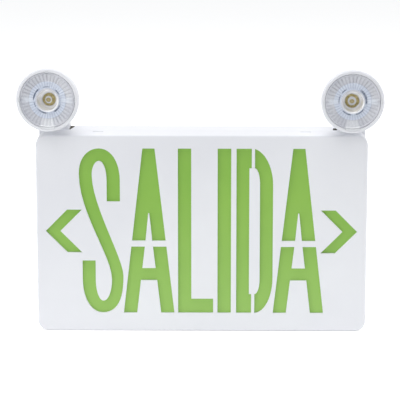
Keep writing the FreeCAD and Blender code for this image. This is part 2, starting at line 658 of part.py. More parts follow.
def lamp_led_board(side):
    front = SINK_REAR + SINK_T + BOARD_T
    board = rod(0, -front, 0, STAR_R, BOARD_T)
    notches = [rod(s * (STAR_R + 0.4) * cos(a), -front - 1, s * (STAR_R + 0.4) * sin(a), 1.6, 4)
               for a in (radians(30), radians(90), radians(150)) for s in (-1, 1)]
    board = cut_all(board, notches + [rod(x, -30, 0, 1.2, 20) for x in (-8.0, 8.0)])
    board.Placement = head_placement(side)
    return board


def lamp_emitter(side):
    face = SINK_REAR + SINK_T + BOARD_T
    base = block(-2.6, 2.6, -face - 0.9, -face, -2.6, 2.6)
    dome = Part.makeSphere(2.2, V(0, -face - 0.9, 0)).common(block(-3, 3, -face - 4, -face - 0.5, -3, 3))
    emitter = fuse([base, dome])
    emitter.Placement = head_placement(side)
    return emitter


def lamp_led_screws(side):
    seat = SINK_REAR + SINK_T + BOARD_T
    screws = group([pan_head_screw(x, -seat, 0, 1.0, 1.9, 1.1, 7.5, Y_AXIS) for x in (-8.0, 8.0)])
    screws.Placement = head_placement(side)
    return screws


def tilt_screw(side):
    screw = pan_head_screw(-EAR_OUT, 0, 0, SCREW_R, 3.6, 2.2, 2 * EAR_OUT + 3.2, X_AXIS)
    screw.Placement = head_placement(side).multiply(screw.Placement)
    return screw


def tilt_nut(side):
    corners = [V(EAR_OUT, 3.7 * cos(n * pi / 3), 3.7 * sin(n * pi / 3)) for n in range(6)]
    nut = Part.Face(Part.makePolygon(corners + corners[:1])).extrude(V(2.4, 0, 0))
    nut = nut.cut(rod(0, 0, 0, SCREW_R, 20, X_AXIS))
    nut.Placement = head_placement(side)
    return nut


# ---- write every sub-part ----------------------------------------------------------------
def all_nodes():
    nodes = {
        "front_cover": front_cover(), "back_housing": back_housing(), "green_diffuser": green_diffuser(),
        "reflector_tray": reflector_tray(), "tray_screws": tray_screws(),
        "upper_led_strip": led_strip(1), "lower_led_strip": led_strip(-1),
        "upper_strip_leds": strip_leds(1), "lower_strip_leds": strip_leds(-1),
        "control_board": control_board(), "board_screws": board_screws(), "transformer": transformer(),
        "relay": relay(), "capacitors": capacitors(), "terminal_block": terminal_block(),
        "connectors": connectors(), "battery_pack": battery_pack(), "battery_strap": battery_strap(),
        "strap_screws": strap_screws(), "status_board": status_board(), "test_switch": test_switch(),
        "light_pipe": light_pipe(), "test_button": test_button(),
    }
    for name, side in (("left", -1), ("right", 1)):
        nodes.update({
            name + "_foot": lamp_foot(side), name + "_swivel_bush": swivel_bush(side),
            name + "_foot_screws": foot_screws(side), name + "_turret": turret(side),
            name + "_swivel_clip": swivel_clip(side), name + "_shell": lamp_shell(side),
            name + "_optic": lamp_optic(side), name + "_heat_sink": lamp_heat_sink(side),
            name + "_led_board": lamp_led_board(side), name + "_emitter": lamp_emitter(side),
            name + "_led_screws": lamp_led_screws(side), name + "_tilt_screw": tilt_screw(side),
            name + "_tilt_nut": tilt_nut(side),
        })
    return nodes


os.makedirs("parts", exist_ok=True)
for node, shape in all_nodes().items():
    shape.exportStep("parts/" + node + ".step")
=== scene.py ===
"""Looks of the emergency exit light: stencil cover, lamp optics, finishes, studio.

Metres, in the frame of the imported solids: +X to the viewer's right, +Y into the wall,
+Z up. Sizes given in millimetres are multiplied by MM where they are used.
"""
import json
from functools import reduce
from math import atan2, cos, hypot, pi, radians, sin

import bmesh
import bpy
from mathutils import Matrix, Vector
from mathutils.geometry import interpolate_bezier


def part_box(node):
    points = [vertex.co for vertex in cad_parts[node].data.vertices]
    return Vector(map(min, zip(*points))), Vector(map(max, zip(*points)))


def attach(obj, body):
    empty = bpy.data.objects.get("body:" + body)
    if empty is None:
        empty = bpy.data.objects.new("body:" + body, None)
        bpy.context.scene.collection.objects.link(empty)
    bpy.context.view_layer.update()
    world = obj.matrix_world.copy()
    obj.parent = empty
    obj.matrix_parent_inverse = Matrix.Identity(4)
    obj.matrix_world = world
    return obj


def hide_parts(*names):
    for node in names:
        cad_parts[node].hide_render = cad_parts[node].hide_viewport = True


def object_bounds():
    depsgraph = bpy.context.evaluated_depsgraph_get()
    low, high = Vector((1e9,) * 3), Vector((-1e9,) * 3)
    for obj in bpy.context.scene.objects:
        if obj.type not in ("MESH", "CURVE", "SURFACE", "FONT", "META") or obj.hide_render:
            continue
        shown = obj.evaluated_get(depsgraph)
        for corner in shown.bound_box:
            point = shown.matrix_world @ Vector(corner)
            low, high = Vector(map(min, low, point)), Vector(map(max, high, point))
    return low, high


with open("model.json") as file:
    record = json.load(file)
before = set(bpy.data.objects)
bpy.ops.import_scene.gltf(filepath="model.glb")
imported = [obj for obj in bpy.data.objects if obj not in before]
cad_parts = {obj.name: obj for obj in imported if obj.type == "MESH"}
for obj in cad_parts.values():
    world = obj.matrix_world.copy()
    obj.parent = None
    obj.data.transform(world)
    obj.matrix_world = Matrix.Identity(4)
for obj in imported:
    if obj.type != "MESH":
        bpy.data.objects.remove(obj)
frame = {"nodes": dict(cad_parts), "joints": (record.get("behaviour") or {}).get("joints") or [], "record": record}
cad_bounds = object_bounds()
nodes = frame["nodes"]
MM = 0.001
TOUCH = 1e-3               # mm within which two modelled points count as one

# ---- sizes of the stencil cover, mm --------------------------------------------------
cover_low, cover_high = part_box("front_cover")
HALF_W = cover_high.x / MM
HALF_H = cover_high.z / MM
FACE_Y = cover_low.y / MM
REAR_Y = cover_high.y / MM
CORNER_R = 10.0
FACE_EDGE_R = 1.8
FACE_EDGE_STEPS = 5
WALL = 2.2
# the lip's lighter tint is a painted highlight
LIP_DEPTH = 1.0            # how far the bright lip of an opening runs down its upright wall

LEGEND_TOP = 79.2
LEGEND_BASE = -74.3
BRIDGE_TOP = -6.5          # uncut band that holds the counters of the A
BRIDGE_BASE = -11.85
A_TOP_HALF = 5.5
A_BAR = (-43.6, -32.0)
A_APEX = 19.0              # where the legs of an A meet
A_APEX_HALF = 0.5
A_COUNTER_HALF = 11.05     # half width between the legs at the base
A_COUNTER_SLOPE = 0.118    # what that half width loses per mm of height
L_BAR_TOP = -60.75
D_STEM = (31.6, 43.3)
D_BRIDGE = (45.4, 48.3)    # uncut band between the stem and the bowl
D_COUNTER = (-56.3, 60.8)
CHEVRON_RUN = 19.8
CHEVRON_HALF = 20.05
CHEVRON_STROKE = 13.6
CHEVRONS = {-1: (142.3, 2.5), 1: (141.7, 2.2)}     # by side: how far out and how high the tip is

LATCH_X = 94.7
LATCH_W = 10.0
LATCH_Y = -32.2
LATCH_L = 2.4
LEVEL = 0.999              # least upward or downward part of a level face's normal
LATCH_MATCH = 0.1          # mm within which a face counts as in line with a latch slot
SKIRT_FACE_AREA = 50       # mm2; the skirt's level faces are larger than this

FENCE_W, FENCE_H = 145.5, 87.5     # half sizes of the fence round the green panel
FENCE_T = 1.2
PANEL_REAR = -46.2
PIN_PLACES = [(x, z) for x in (-136, 0, 136) for z in (-84, 84)]
PIN_R, PIN_L = 1.4, 2.2
PIN_MIDDLE = 0.9           # from the inside of the face to the middle of a pin
SINK = 0.3                 # how far the fence is rooted in the face

# ---- sizes of the lamp optic, mm: radius from the lamp axis, s forward of the tilt axis -
REST_TILT = {"left": -0.4, "right": -1.7}     # degrees, nose down
LENS_R = 25.15
LENS_FRONT = 43.7
LENS_REAR = 41.5
FLUTES = 40
FACETS = 6                 # spans across one flute
TAB_REACH = 26.3
TAB_T = 1.4
SOLE = -90.0               # heading of the lowest, widest tab
# the dark lines along the flutes are painted shade, the bright lines painted highlight
FLUTE_MARK = 0.2           # reach of the dark and bright lines along the flutes
TABS = ((0, 3.0), (90, 3.0), (180, 3.0), (270, 13.5))     # heading in degrees, width
MAP_RADIUS = 100.0         # mm to one unit of the optic's map
CENTRE_R = 9.2             # the domed middle lies inside this radius and in front of CENTRE_REAR
CENTRE_REAR = 30.0
# radius where each tinted zone of the optic starts and ends: the fluted and bluish faces, the painted shade of the
# dark rays, the painted highlight of the cup's edge, and the painted reflections at the sides and at the sole
FLUTED_FACE = (17.2, 23.4)
BLUISH_FACE = (11.0, 16.9)
DARK_RAYS = (12.5, 17.6)
CUP_EDGE = (9.3, 10.7)
SIDE_REFLECTION = (12.5, 21.5)
SOLE_FACE = (17.0, 25.0)
SOLE_FLANGE = (23.3, 27.0)
TAB_FACE = (25.25, 27.0)
# dark reflections round the cup's edge: heading and reach in degrees, inner and outer radius
CUP_GLINTS = {
    "left": ((150, 26, 11.9, 13.2), (168, 16, 12.2, 13.3), (243, 28, 11.3, 12.7), (318, 24, 11.3, 12.7),
             (246, 16, 8.9, 9.6), (200, 14, 12.0, 13.0), (40, 14, 11.4, 12.2), (95, 18, 11.6, 12.3)),
    "right": ((32, 28, 11.4, 13.2), (3, 17, 11.6, 13.0), (242, 26, 11.4, 12.7), (303, 26, 11.4, 12.6),
              (130, 14, 12.0, 13.0), (170, 20, 12.0, 13.0), (310, 24, 8.9, 9.6)),
}
CHIP_RINGS = {"left": (6.0, 3.1), "right": (6.5, 3.8)}     # outer and inner radius of the gold ring's image
CHIP_DOT = 2.2
CHIP_SHADE = 0.7           # width of the grey line round the gold ring


# ---- shared modelling steps ------------------------------------------------------------
def finished_piece(name, bm, materials, body, sharp_deg=30.0):
    """Turns a modelled mesh into a named piece that rides on a body."""
    for edge in bm.edges:
        edge.smooth = edge.calc_face_angle(pi) < radians(sharp_deg)
    for face in bm.faces:
        face.smooth = True
    mesh = bpy.data.meshes.new(name)
    bm.to_mesh(mesh)
    bm.free()
    for material in materials:
        mesh.materials.append(material)
    piece = bpy.data.objects.new(name, mesh)
    bpy.context.scene.collection.objects.link(piece)
    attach(piece, body)
    return piece


def rounded_loop(bm, half_w, half_h, corner, y, segments=10):
    """Edges of a rounded rectangle parallel to the wall, in mm."""
    corners = [bm.verts.new((sx * half_w, y, sz * half_h))
               for sx, sz in ((-1, -1), (1, -1), (1, 1), (-1, 1))]
    bm.faces.new(corners)
    rounded = bmesh.ops.bevel(bm, geom=corners, offset=corner, affect="VERTICES", segments=segments,
                              profile=0.5, material=-1)["verts"]
    sheet = max({f for v in rounded for f in v.link_faces}, key=lambda f: f.calc_area())
    edges = list(sheet.edges)
    bmesh.ops.delete(bm, geom=[sheet], context="FACES_ONLY")
    return edges


def bridge(bm, first, second):
    return bmesh.ops.bridge_loops(bm, edges=first + second)["faces"]


# ---- legend openings ---------------------------------------------------------------------
ELLIPSE = 0.5523           # fullness of a quarter oval that makes it a true ellipse
CURVE_POINTS = 13


def traced(start, *runs):
    """Closed outline in (x, z). A run is a corner point, or a curve to its last point."""
    points = [Vector(start)]
    for run in runs:
        here = points[-1]
        if run[0] == "to":
            points.append(Vector(run[1]))
            continue
        if run[0] == "curve":
            end, grips = Vector(run[3]), run[1:3]
        else:                            # quarter oval
            end, fullness = Vector(run[1]), (run[2:] or (ELLIPSE,))[0]
            ahead, back = fullness * (end - here), fullness * (here - end)
            if run[0] == "rising":       # leaves upright
                grips = ((here.x, here.y + ahead.y), (end.x + back.x, end.y))
            else:                        # leaves level
                grips = ((here.x + ahead.x, here.y), (end.x, end.y + back.y))
        flat = [Vector((p[0], p[1], 0)) for p in (here, *grips, end)]
        points += [p.xy for p in interpolate_bezier(*flat, CURVE_POINTS)[1:]]
    if (points[0] - points[-1]).length < TOUCH:
        points.pop()
    return points


def letter_s():
    return traced(
        (-86.4, 30.0), ("to", (-74.3, 30.0)), ("to", (-74.3, 49.9)),
        ("rising", (-93.1, LEGEND_TOP), 0.58), ("level", (-111.6, 55.5), 0.59),
        ("curve", (-111.6, 18.5), (-82.2, -20.9), (-82.2, -43.2)),
        ("rising", (-90.1, -62.9)), ("level", (-97.0, -43.2)), ("to", (-97.0, -25.0)),
        ("to", (-109.0, -25.0)), ("to", (-109.0, -42.9)),
        ("rising", (-90.8, LEGEND_BASE), 0.58), ("level", (-71.6, -39.5), 0.67),
        ("curve", (-71.6, -22.7), (-99.8, 26.3), (-99.8, 54.9)),
        ("rising", (-93.1, 67.5)), ("level", (-86.4, 49.9)))


def letter_a(middle, foot):
    """Upper and lower opening of an A; foot is its half width at the base."""
    def outer(z):
        return A_TOP_HALF + (foot - A_TOP_HALF) * (LEGEND_TOP - z) / (LEGEND_TOP - LEGEND_BASE)

    def inner(z):
        return A_COUNTER_HALF - A_COUNTER_SLOPE * (z - LEGEND_BASE)

    def mirrored(half):
        return [(-x, z) for x, z in reversed(half)]

    bar_base, bar_top = A_BAR
    right_leg = [(A_TOP_HALF, LEGEND_TOP), (outer(BRIDGE_TOP), BRIDGE_TOP),
                 (inner(BRIDGE_TOP), BRIDGE_TOP), (A_APEX_HALF, A_APEX)]
    upper = right_leg + mirrored(right_leg)
    right_foot = [(outer(BRIDGE_BASE), BRIDGE_BASE), (outer(LEGEND_BASE), LEGEND_BASE),
                  (inner(LEGEND_BASE), LEGEND_BASE), (inner(bar_base), bar_base)]
    notch = [(inner(bar_top), bar_top), (inner(BRIDGE_BASE), BRIDGE_BASE)]
    lower = right_foot + mirrored(right_foot) + mirrored(notch) + notch
    return [[Vector((middle + x, z)) for x, z in outline] for outline in (upper, lower)]


def letter_l():
    return traced((-21.6, LEGEND_BASE), ("to", (-21.6, LEGEND_TOP)), ("to", (-9.45, LEGEND_TOP)),
                  ("to", (-9.45, L_BAR_TOP)), ("to", (10.55, L_BAR_TOP)), ("to", (10.55, LEGEND_BASE)))


def letter_i():
    return traced((14.5, LEGEND_BASE), ("to", (14.5, LEGEND_TOP)), ("to", (26.8, LEGEND_TOP)),
                  ("to", (26.8, LEGEND_BASE)))


def letter_d():
    """Stem and bowl of the D, with the uncut bridge between them."""
    stem_out, stem_in = D_STEM
    bridge_out, bridge_in = D_BRIDGE
    counter_base, counter_top = D_COUNTER
    stem = traced((stem_out, LEGEND_BASE), ("to", (stem_out, LEGEND_TOP)),
                  ("to", (bridge_out, LEGEND_TOP)), ("to", (bridge_out, counter_top)),
                  ("to", (stem_in, counter_top)), ("to", (stem_in, counter_base)),
                  ("to", (bridge_out, counter_base)), ("to", (bridge_out, LEGEND_BASE)))
    bowl = traced((bridge_in, counter_top), ("to", (bridge_in, LEGEND_TOP - 0.2)),
                  ("curve", (57.7, 76.1), (64.9, 61.8), (64.9, 45.0)), ("to", (64.9, -41.5)),
                  ("rising", (bridge_in, LEGEND_BASE)), ("to", (bridge_in, counter_base)),
                  ("level", (53.0, -43.0)), ("to", (53.0, 46.0)), ("rising", (bridge_in, counter_top)))
    return [stem, bowl]


def chevron(side):
    """Arrow opening that points outward on the given side."""
    tip, height = CHEVRONS[side]
    outer = tip - CHEVRON_RUN
    points = [(tip, 0), (outer, CHEVRON_HALF), (outer - CHEVRON_STROKE, CHEVRON_HALF),
              (tip - CHEVRON_STROKE, 0), (outer - CHEVRON_STROKE, -CHEVRON_HALF), (outer, -CHEVRON_HALF)]
    return [Vector((side * x, z + height)) for x, z in points]


def legend_openings():
    return [letter_s(), *letter_a(-48.2, 23.25), letter_l(), letter_i(), *letter_d(), *letter_a(88.35, 23.15),
            chevron(-1), chevron(1)]


def cut_opening(bm, outline):
    """Lip and walls of one opening, both upright; returns its front and rear edges, to be filled round."""
    lid = bm.faces.new([bm.verts.new((p.x, FACE_Y, p.y)) for p in outline])
    bmesh.ops.inset_region(bm, faces=[lid], thickness=0, use_boundary=True)
    front = list(lid.edges)
    mouth = set(lid.verts)
    edge_of = {e for v in mouth for f in v.link_faces if f is not lid for e in f.edges}
    waist = [e for e in edge_of if e not in set(front) and not (set(e.verts) & mouth)]
    # the lip takes the second slot, a lighter tint that is a painted highlight
    for lip in {f for v in mouth for f in v.link_faces if f is not lid}:
        lip.material_index = 1
    bmesh.ops.delete(bm, geom=[lid], context="FACES_ONLY")
    bmesh.ops.translate(bm, verts=list({v for e in waist for v in e.verts}), vec=(0, LIP_DEPTH, 0))
    walls = bmesh.ops.extrude_edge_only(bm, edges=waist)["geom"]
    bmesh.ops.translate(bm, verts=[g for g in walls if isinstance(g, bmesh.types.BMVert)],
                        vec=(0, WALL - LIP_DEPTH, 0))
    rear = [g for g in walls if isinstance(g, bmesh.types.BMEdge)
            and all(abs(v.co.y - FACE_Y - WALL) < TOUCH for v in g.verts)]
    return front, rear


def latch_slots(bm):
    """Slots through the top and bottom of the skirt where the hooks catch."""
    def level_faces(least_area=0):
        return [f for f in bm.faces if abs(f.normal.z) > LEVEL and f.calc_area() > least_area
                and abs(f.calc_center_median().z) > HALF_H - WALL - LATCH_MATCH]

    def cut(faces, place, normal):
        around = {g for f in faces for g in (*f.edges, *f.verts)}
        bmesh.ops.bisect_plane(bm, geom=faces + list(around), plane_co=place, plane_no=normal)

    for side in (-1, 1):
        for offset in (-LATCH_W / 2, LATCH_W / 2):
            cut(level_faces(SKIRT_FACE_AREA), (side * LATCH_X + offset, 0, 0), (1, 0, 0))
        for offset in (-LATCH_L / 2, LATCH_L / 2):
            strip = [f for f in level_faces() if abs(f.calc_center_median().x - side * LATCH_X) < LATCH_MATCH]
            cut(strip, (0, LATCH_Y + offset, 0), (0, 1, 0))
    for side in (-1, 1):
        for end in (-1, 1):
            lids = [f for f in level_faces() if end * f.calc_center_median().z > 0
                    and (f.calc_center_median().xy - Vector((side * LATCH_X, LATCH_Y))).length < LATCH_MATCH]
            rims = [list(f.edges) for f in lids]
            bmesh.ops.delete(bm, geom=lids, context="FACES_ONLY")
            bridge(bm, rims[0], rims[1])


def panel_seat(bm):
    """Fence and pins behind the legend that hold the green panel."""
    face_in = FACE_Y + WALL
    rings = [rounded_loop(bm, FENCE_W - d, FENCE_H - d, 0.4, y, 2)
             for d, y in ((0, face_in - SINK), (0, PANEL_REAR),
                          (FENCE_T, PANEL_REAR), (FENCE_T, face_in - SINK))]
    for near, far in zip(rings, rings[1:] + rings[:1]):
        bridge(bm, near, far)
    for x, z in PIN_PLACES:
        place = Matrix.Translation((x, face_in + PIN_MIDDLE, z)) @ Matrix.Rotation(pi / 2, 4, "X")
        bmesh.ops.create_cone(bm, cap_ends=True, segments=20, radius1=PIN_R, radius2=PIN_R, depth=PIN_L,
                              matrix=place)


def stencil_cover(material, lip_highlight_material):
    """Moulded front cover with the legend and chevrons cut through its face."""
    bm = bmesh.new()
    skirt = [rounded_loop(bm, HALF_W, HALF_H, CORNER_R, REAR_Y)]
    for step in range(FACE_EDGE_STEPS + 1):
        turn = step * pi / 2 / FACE_EDGE_STEPS
        inset = FACE_EDGE_R * (1 - cos(turn))
        skirt.append(rounded_loop(bm, HALF_W - inset, HALF_H - inset, CORNER_R - inset,
                                  FACE_Y + FACE_EDGE_R * (1 - sin(turn))))
    inner_w, inner_h, inner_r = HALF_W - WALL, HALF_H - WALL, CORNER_R - WALL
    lining = [rounded_loop(bm, inner_w, inner_h, inner_r, y) for y in (REAR_Y, FACE_Y + WALL)]
    for near, far in zip(skirt, skirt[1:]):
        bridge(bm, near, far)
    bridge(bm, *lining)
    bridge(bm, skirt[0], lining[0])
    cuts = [cut_opening(bm, outline) for outline in legend_openings()]
    front = skirt[-1] + [e for cut in cuts for e in cut[0]]
    rear = lining[1] + [e for cut in cuts for e in cut[1]]
    for edges in (front, rear):
        bmesh.ops.triangle_fill(bm, edges=edges, use_beauty=True, normal=(0, -1, 0))
    bmesh.ops.recalc_face_normals(bm, faces=bm.faces)
    latch_slots(bm)
    panel_seat(bm)
    bmesh.ops.recalc_face_normals(bm, faces=bm.faces)
    bmesh.ops.scale(bm, vec=(MM, MM, MM), verts=bm.verts)
    piece = finished_piece("stencil_cover", bm, [material, lip_highlight_material], "housing")
    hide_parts("front_cover")
    return piece


# ---- lamp optics -----------------------------------------------------------------------------
def lamp_place(side_name):
    """Matrix from the lamp's own millimetres (axis along Z, up along Y) to its rest place."""
    tilt = next(j for j in frame["joints"] if j["name"] == side_name + "_tilt")
    pan = atan2(-tilt["axis"][1], -tilt["axis"][0])
    return (Matrix.Translation(tilt["pos_m"]) @ Matrix.Rotation(pan, 4, "Z")
            @ Matrix.Rotation(pi / 2 - radians(REST_TILT[side_name]), 4, "X") @ Matrix.Scale(MM, 4))


# rings of the optic from its rear edge over the front to the middle:
# radius, s at a flute's crest, s at a flute's valley
OPTIC_RINGS = (
    # outer cone and flange
    (8.6, 24.6, 24.6), (13.2, 28.8, 28.8), (18.2, 34.4, 34.4), (22.9, 41.0, 41.0),
    (23.5, LENS_REAR, LENS_REAR), (LENS_R, LENS_REAR, LENS_REAR), (LENS_R, 43.5, 43.5),
    (24.95, LENS_FRONT, LENS_FRONT), (24.0, LENS_FRONT, LENS_FRONT), (23.7, 43.4, 43.4),
    # fluted face in two steps
    (23.3, 43.1, 42.6), (20.5, 42.5, 42.0), (17.6, 42.0, 41.6), (17.1, 41.7, 41.4),
    (16.6, 42.1, 41.8), (13.8, 41.7, 41.45), (11.9, 41.5, 41.3),
    # raised edge and wall of the cup
    (11.3, 42.4, 42.4), (10.6, 43.3, 43.3), (9.9, 43.5, 43.5), (9.3, 43.1, 43.1),
    (8.9, 40.0, 40.0), (8.6, 34.8, 34.8), (8.1, 33.9, 33.9),
    # dome over the light source
    (6.6, 33.2, 33.2), (6.2, 33.6, 33.6), (5.0, 34.3, 34.3), (3.9, 34.7, 34.7),
    (2.2, 35.0, 35.0), (0.9, 35.1, 35.1))


def fluted_optic(side_name, optic_plastic, centre_finish):
    """Round collimator: fluted face, raised cup edge that its finish brightens with a painted highlight, and the
    domed middle over the light source.
    """
    bm = bmesh.new()
    steps = FLUTES * FACETS
    profile = [bm.verts.new((r, 0, s)) for r, s, _ in OPTIC_RINGS]
    runs = [bm.edges.new(pair) for pair in zip(profile, profile[1:])]
    bmesh.ops.spin(bm, geom=profile + runs, cent=(0, 0, 0), axis=(0, 0, 1), angle=2 * pi, steps=steps,
                   use_merge=True)
    bmesh.ops.remove_doubles(bm, verts=bm.verts, dist=TOUCH / 10)
    for end in (OPTIC_RINGS[0], OPTIC_RINGS[-1]):
        rim = [e for e in bm.edges
               if e.is_boundary and all(abs(hypot(v.co.x, v.co.y) - end[0]) < TOUCH for v in e.verts)]
        bmesh.ops.edgeloop_fill(bm, edges=rim)
    depths = {(round(r, 2), round(s, 2)): s - valley for r, s, valley in OPTIC_RINGS if s != valley}
    for vert in bm.verts:
        depth = depths.get((round(hypot(vert.co.x, vert.co.y), 2), round(vert.co.z, 2)))
        if depth:
            turn = atan2(vert.co.y, vert.co.x) * FLUTES / (2 * pi)
            crown = abs(turn - round(turn)) * 2              # 0 in the valley, 1 on the crest
            vert.co.z -= depth * (1 - crown) ** 2
    for angle, width in TABS:
        add_tab(bm, radians(angle), width / 2)
    bmesh.ops.recalc_face_normals(bm, faces=bm.faces)
    polar = bm.loops.layers.uv.new("UVMap")
    for face in bm.faces:
        middle = face.calc_center_median()
        heading = atan2(middle.y, middle.x)
        face.material_index = 1 if hypot(middle.x, middle.y) < CENTRE_R and middle.z > CENTRE_REAR else 0
        for loop in face.loops:
            co = loop.vert.co
            swing = (atan2(co.y, co.x) - heading + pi) % (2 * pi) - pi
            loop[polar].uv = ((heading + swing) * FLUTES / (2 * pi), hypot(co.x, co.y) / MAP_RADIUS)
    bmesh.ops.transform(bm, matrix=lamp_place(side_name), verts=bm.verts)
    piece = finished_piece(side_name + "_fluted_optic", bm, [optic_plastic, centre_finish],
                           side_name + "_head", sharp_deg=26.0)
    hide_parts(side_name + "_optic")
    return piece


def add_tab(bm, heading, half):
    """Locating tab that reaches from the optic's flange into the lamp rim."""
    inner, outer = LENS_R - 1.0, TAB_REACH - 0.05
    swing = half / outer
    turned = Matrix.Rotation(heading - swing, 3, "Z")
    section = [bm.verts.new(turned @ Vector((r, 0, s))) for r, s in (
        (inner, LENS_FRONT - TAB_T), (outer, LENS_FRONT - TAB_T), (outer, LENS_FRONT), (inner, LENS_FRONT))]
    outline = [bm.edges.new(pair) for pair in zip(section, section[1:] + section[:1])]
    far = bmesh.ops.spin(bm, geom=section + outline, cent=(0, 0, 0), axis=(0, 0, 1), angle=2 * swing, steps=6)
    for rim in (outline, [g for g in far["geom_last"] if isinstance(g, bmesh.types.BMEdge)]):
        bmesh.ops.edgeloop_fill(bm, edges=rim)


# ---- painted shade: dark blocks in the gaps beside the lamp feet ------------------------------------
SHADE_BLOCK_TOP, SHADE_BLOCK_BASE = 92.1, 89.8
SHADE_BLOCK_PLANS = {
    "left": ((-117.95, -5.6), (-121.3, -5.6), (-121.3, -20.6)),
    "right": ((120.2, -22.3), (123.6, -22.3), (123.6, -15.9), (120.2, -15.9)),
}


def foot_shade_block(side_name, shade_block_finish):
    """Dark block in the open corner of the lamp opening beside the foot, where there is only shade: painted shade.
    """
    bm = bmesh.new()
    sole = bm.faces.new([bm.verts.new((x, y, SHADE_BLOCK_BASE)) for x, y in SHADE_BLOCK_PLANS[side_name]])
    risen = bmesh.ops.extrude_face_region(bm, geom=[sole])["geom"]
    bmesh.ops.translate(bm, verts=[g for g in risen if isinstance(g, bmesh.types.BMVert)],
                        vec=(0, 0, SHADE_BLOCK_TOP - SHADE_BLOCK_BASE))
    bmesh.ops.recalc_face_normals(bm, faces=bm.faces)
    bmesh.ops.scale(bm, vec=(MM, MM, MM), verts=bm.verts)
    return finished_piece(side_name + "_foot_shade_block", bm, [shade_block_finish], "housing")


# ---- finishes ----------------------------------------------------------------------------------
class Finish:
    """A procedural surface: tone variation, fine relief and uneven gloss on object coordinates."""

    def __init__(self, name, light, dark, patch=35.0, grain=900.0, relief=0.03, gloss=(0.35, 0.5),
                 metal=0.0):
        self.material = bpy.data.materials.new(name)
        self.material.use_nodes = True
        self.nodes = self.material.node_tree.nodes
        self.links = self.material.node_tree.links
        self.shader = self.nodes["Principled BSDF"]
        self.shader.inputs["Metallic"].default_value = metal
        self.place = self.nodes.new("ShaderNodeTexCoord").outputs["Object"]
        self.tone = self.noise(patch, 3.0)
        self.fine = self.noise(grain, 2.0)
        self.colour = self.blend(self.tone, light, dark)
        self.links.new(self.colour, self.shader.inputs["Base Color"])
        self.uneven = self.spread(self.fine, *gloss)
        self.links.new(self.uneven, self.shader.inputs["Roughness"])
        self.bump = self.nodes.new("ShaderNodeBump")
        self.bump.inputs["Strength"].default_value = relief
        self.bump.inputs["Distance"].default_value = 0.0004
        self.links.new(self.fine, self.bump.inputs["Height"])
        self.links.new(self.bump.outputs["Normal"], self.shader.inputs["Normal"])

    def noise(self, scale, detail):
        node = self.nodes.new("ShaderNodeTexNoise")
        node.inputs["Scale"].default_value = scale
        node.inputs["Detail"].default_value = detail
        self.links.new(self.place, node.inputs["Vector"])
        return node.outputs["Fac"]

    def blend(self, fac, light, dark, low=0.35, high=0.65):
        node = self.nodes.new("ShaderNodeValToRGB")
        for stop, position, tint in zip(node.color_ramp.elements, (low, high), (dark, light)):
            stop.position = position
            stop.color = (*linear(tint), 1)
        self.links.new(fac, node.inputs["Fac"])
        return node.outputs["Color"]

    def spread(self, fac, low, high):
        """Stretches the middle of a noise over the range from low to high."""
        node = self.nodes.new("ShaderNodeMapRange")
        node.inputs["From Min"].default_value = 0.3
        node.inputs["From Max"].default_value = 0.7
        node.inputs["To Min"].default_value = low
        node.inputs["To Max"].default_value = high
        self.links.new(fac, node.inputs["Value"])
        return node.outputs["Result"]

    def maths(self, operation, first, second=None, clamp=False):
        node = self.nodes.new("ShaderNodeMath")
        node.operation = operation
        node.use_clamp = clamp
        for socket, value in zip(node.inputs, (first, second)):
            if value is None:
                continue
            if isinstance(value, (int, float)):
                socket.default_value = value
            else:
                self.links.new(value, socket)
        return node.outputs["Value"]

    def times(self, *factors):
        """Product of sockets and plain numbers."""
        return reduce(lambda total, factor: self.maths("MULTIPLY", total, factor), factors)

    def over(self, fac, below, above):
        """Lays the tint above over the colour below where fac is 1."""
        node = self.nodes.new("ShaderNodeMix")
        node.data_type = "RGBA"
        self.links.new(fac, node.inputs["Factor"])
        for socket, value in ((node.inputs[6], below), (node.inputs[7], above)):
            if isinstance(value, tuple):
                socket.default_value = (*linear(value), 1)
            else:
                self.links.new(value, socket)
        return node.outputs[2]

    def recolour(self, colour):
        self.links.new(colour, self.shader.inputs["Base Color"])


def linear(tint):
    """Scene-linear values of a tint given as ordinary 0-255 levels."""
    levels = [c / 255 for c in tint]
    return tuple(c / 12.92 if c <= 0.04045 else ((c + 0.055) / 1.055) ** 2.4 for c in levels)


def moulded_white():
    """Satin white thermoplastic of the box, the feet, the turrets and the lamp shells."""
    finish = Finish("moulded_white", (236, 237, 241), (231, 232, 237), patch=9.0, grain=1500.0,
                    relief=0.05, gloss=(0.42, 0.54))
    finish.shader.inputs["Specular IOR Level"].default_value = 0.25
    return finish.material


def lip_painted_highlight():
    """Lip round each opening in a lighter, smoother tint: a painted highlight."""
    finish = Finish("lip_painted_highlight", (249, 249, 253), (244, 244, 249), patch=40.0, grain=1500.0, relief=0.02,
                    gloss=(0.3, 0.4))
    return finish.material


def shade_block_dark():
    """Dark finish of the blocks beside the lamp feet: painted shade."""
    finish = Finish("shade_block_dark", (78, 73, 63), (62, 58, 50), patch=180.0, grain=1400.0, relief=0.2,
                    gloss=(0.75, 0.9))
    return finish.material


def green_sheet():
    """Green panel, a little paler towards its foot, which is painted light."""
    finish = Finish("green_sheet", (139, 186, 75), (131, 180, 68), patch=14.0, grain=700.0, relief=0.03,
                    gloss=(0.38, 0.5))
    split = finish.nodes.new("ShaderNodeSeparateXYZ")
    finish.links.new(finish.place, split.inputs["Vector"])
    # painted light: the green turns paler towards the panel's foot
    painted_light_below = finish.maths("DIVIDE", finish.maths("SUBTRACT", 0.03, split.outputs["Z"]), 0.11, clamp=True)
    finish.recolour(finish.over(finish.times(painted_light_below, 0.8), finish.colour, (150, 192, 96)))
    return finish.material


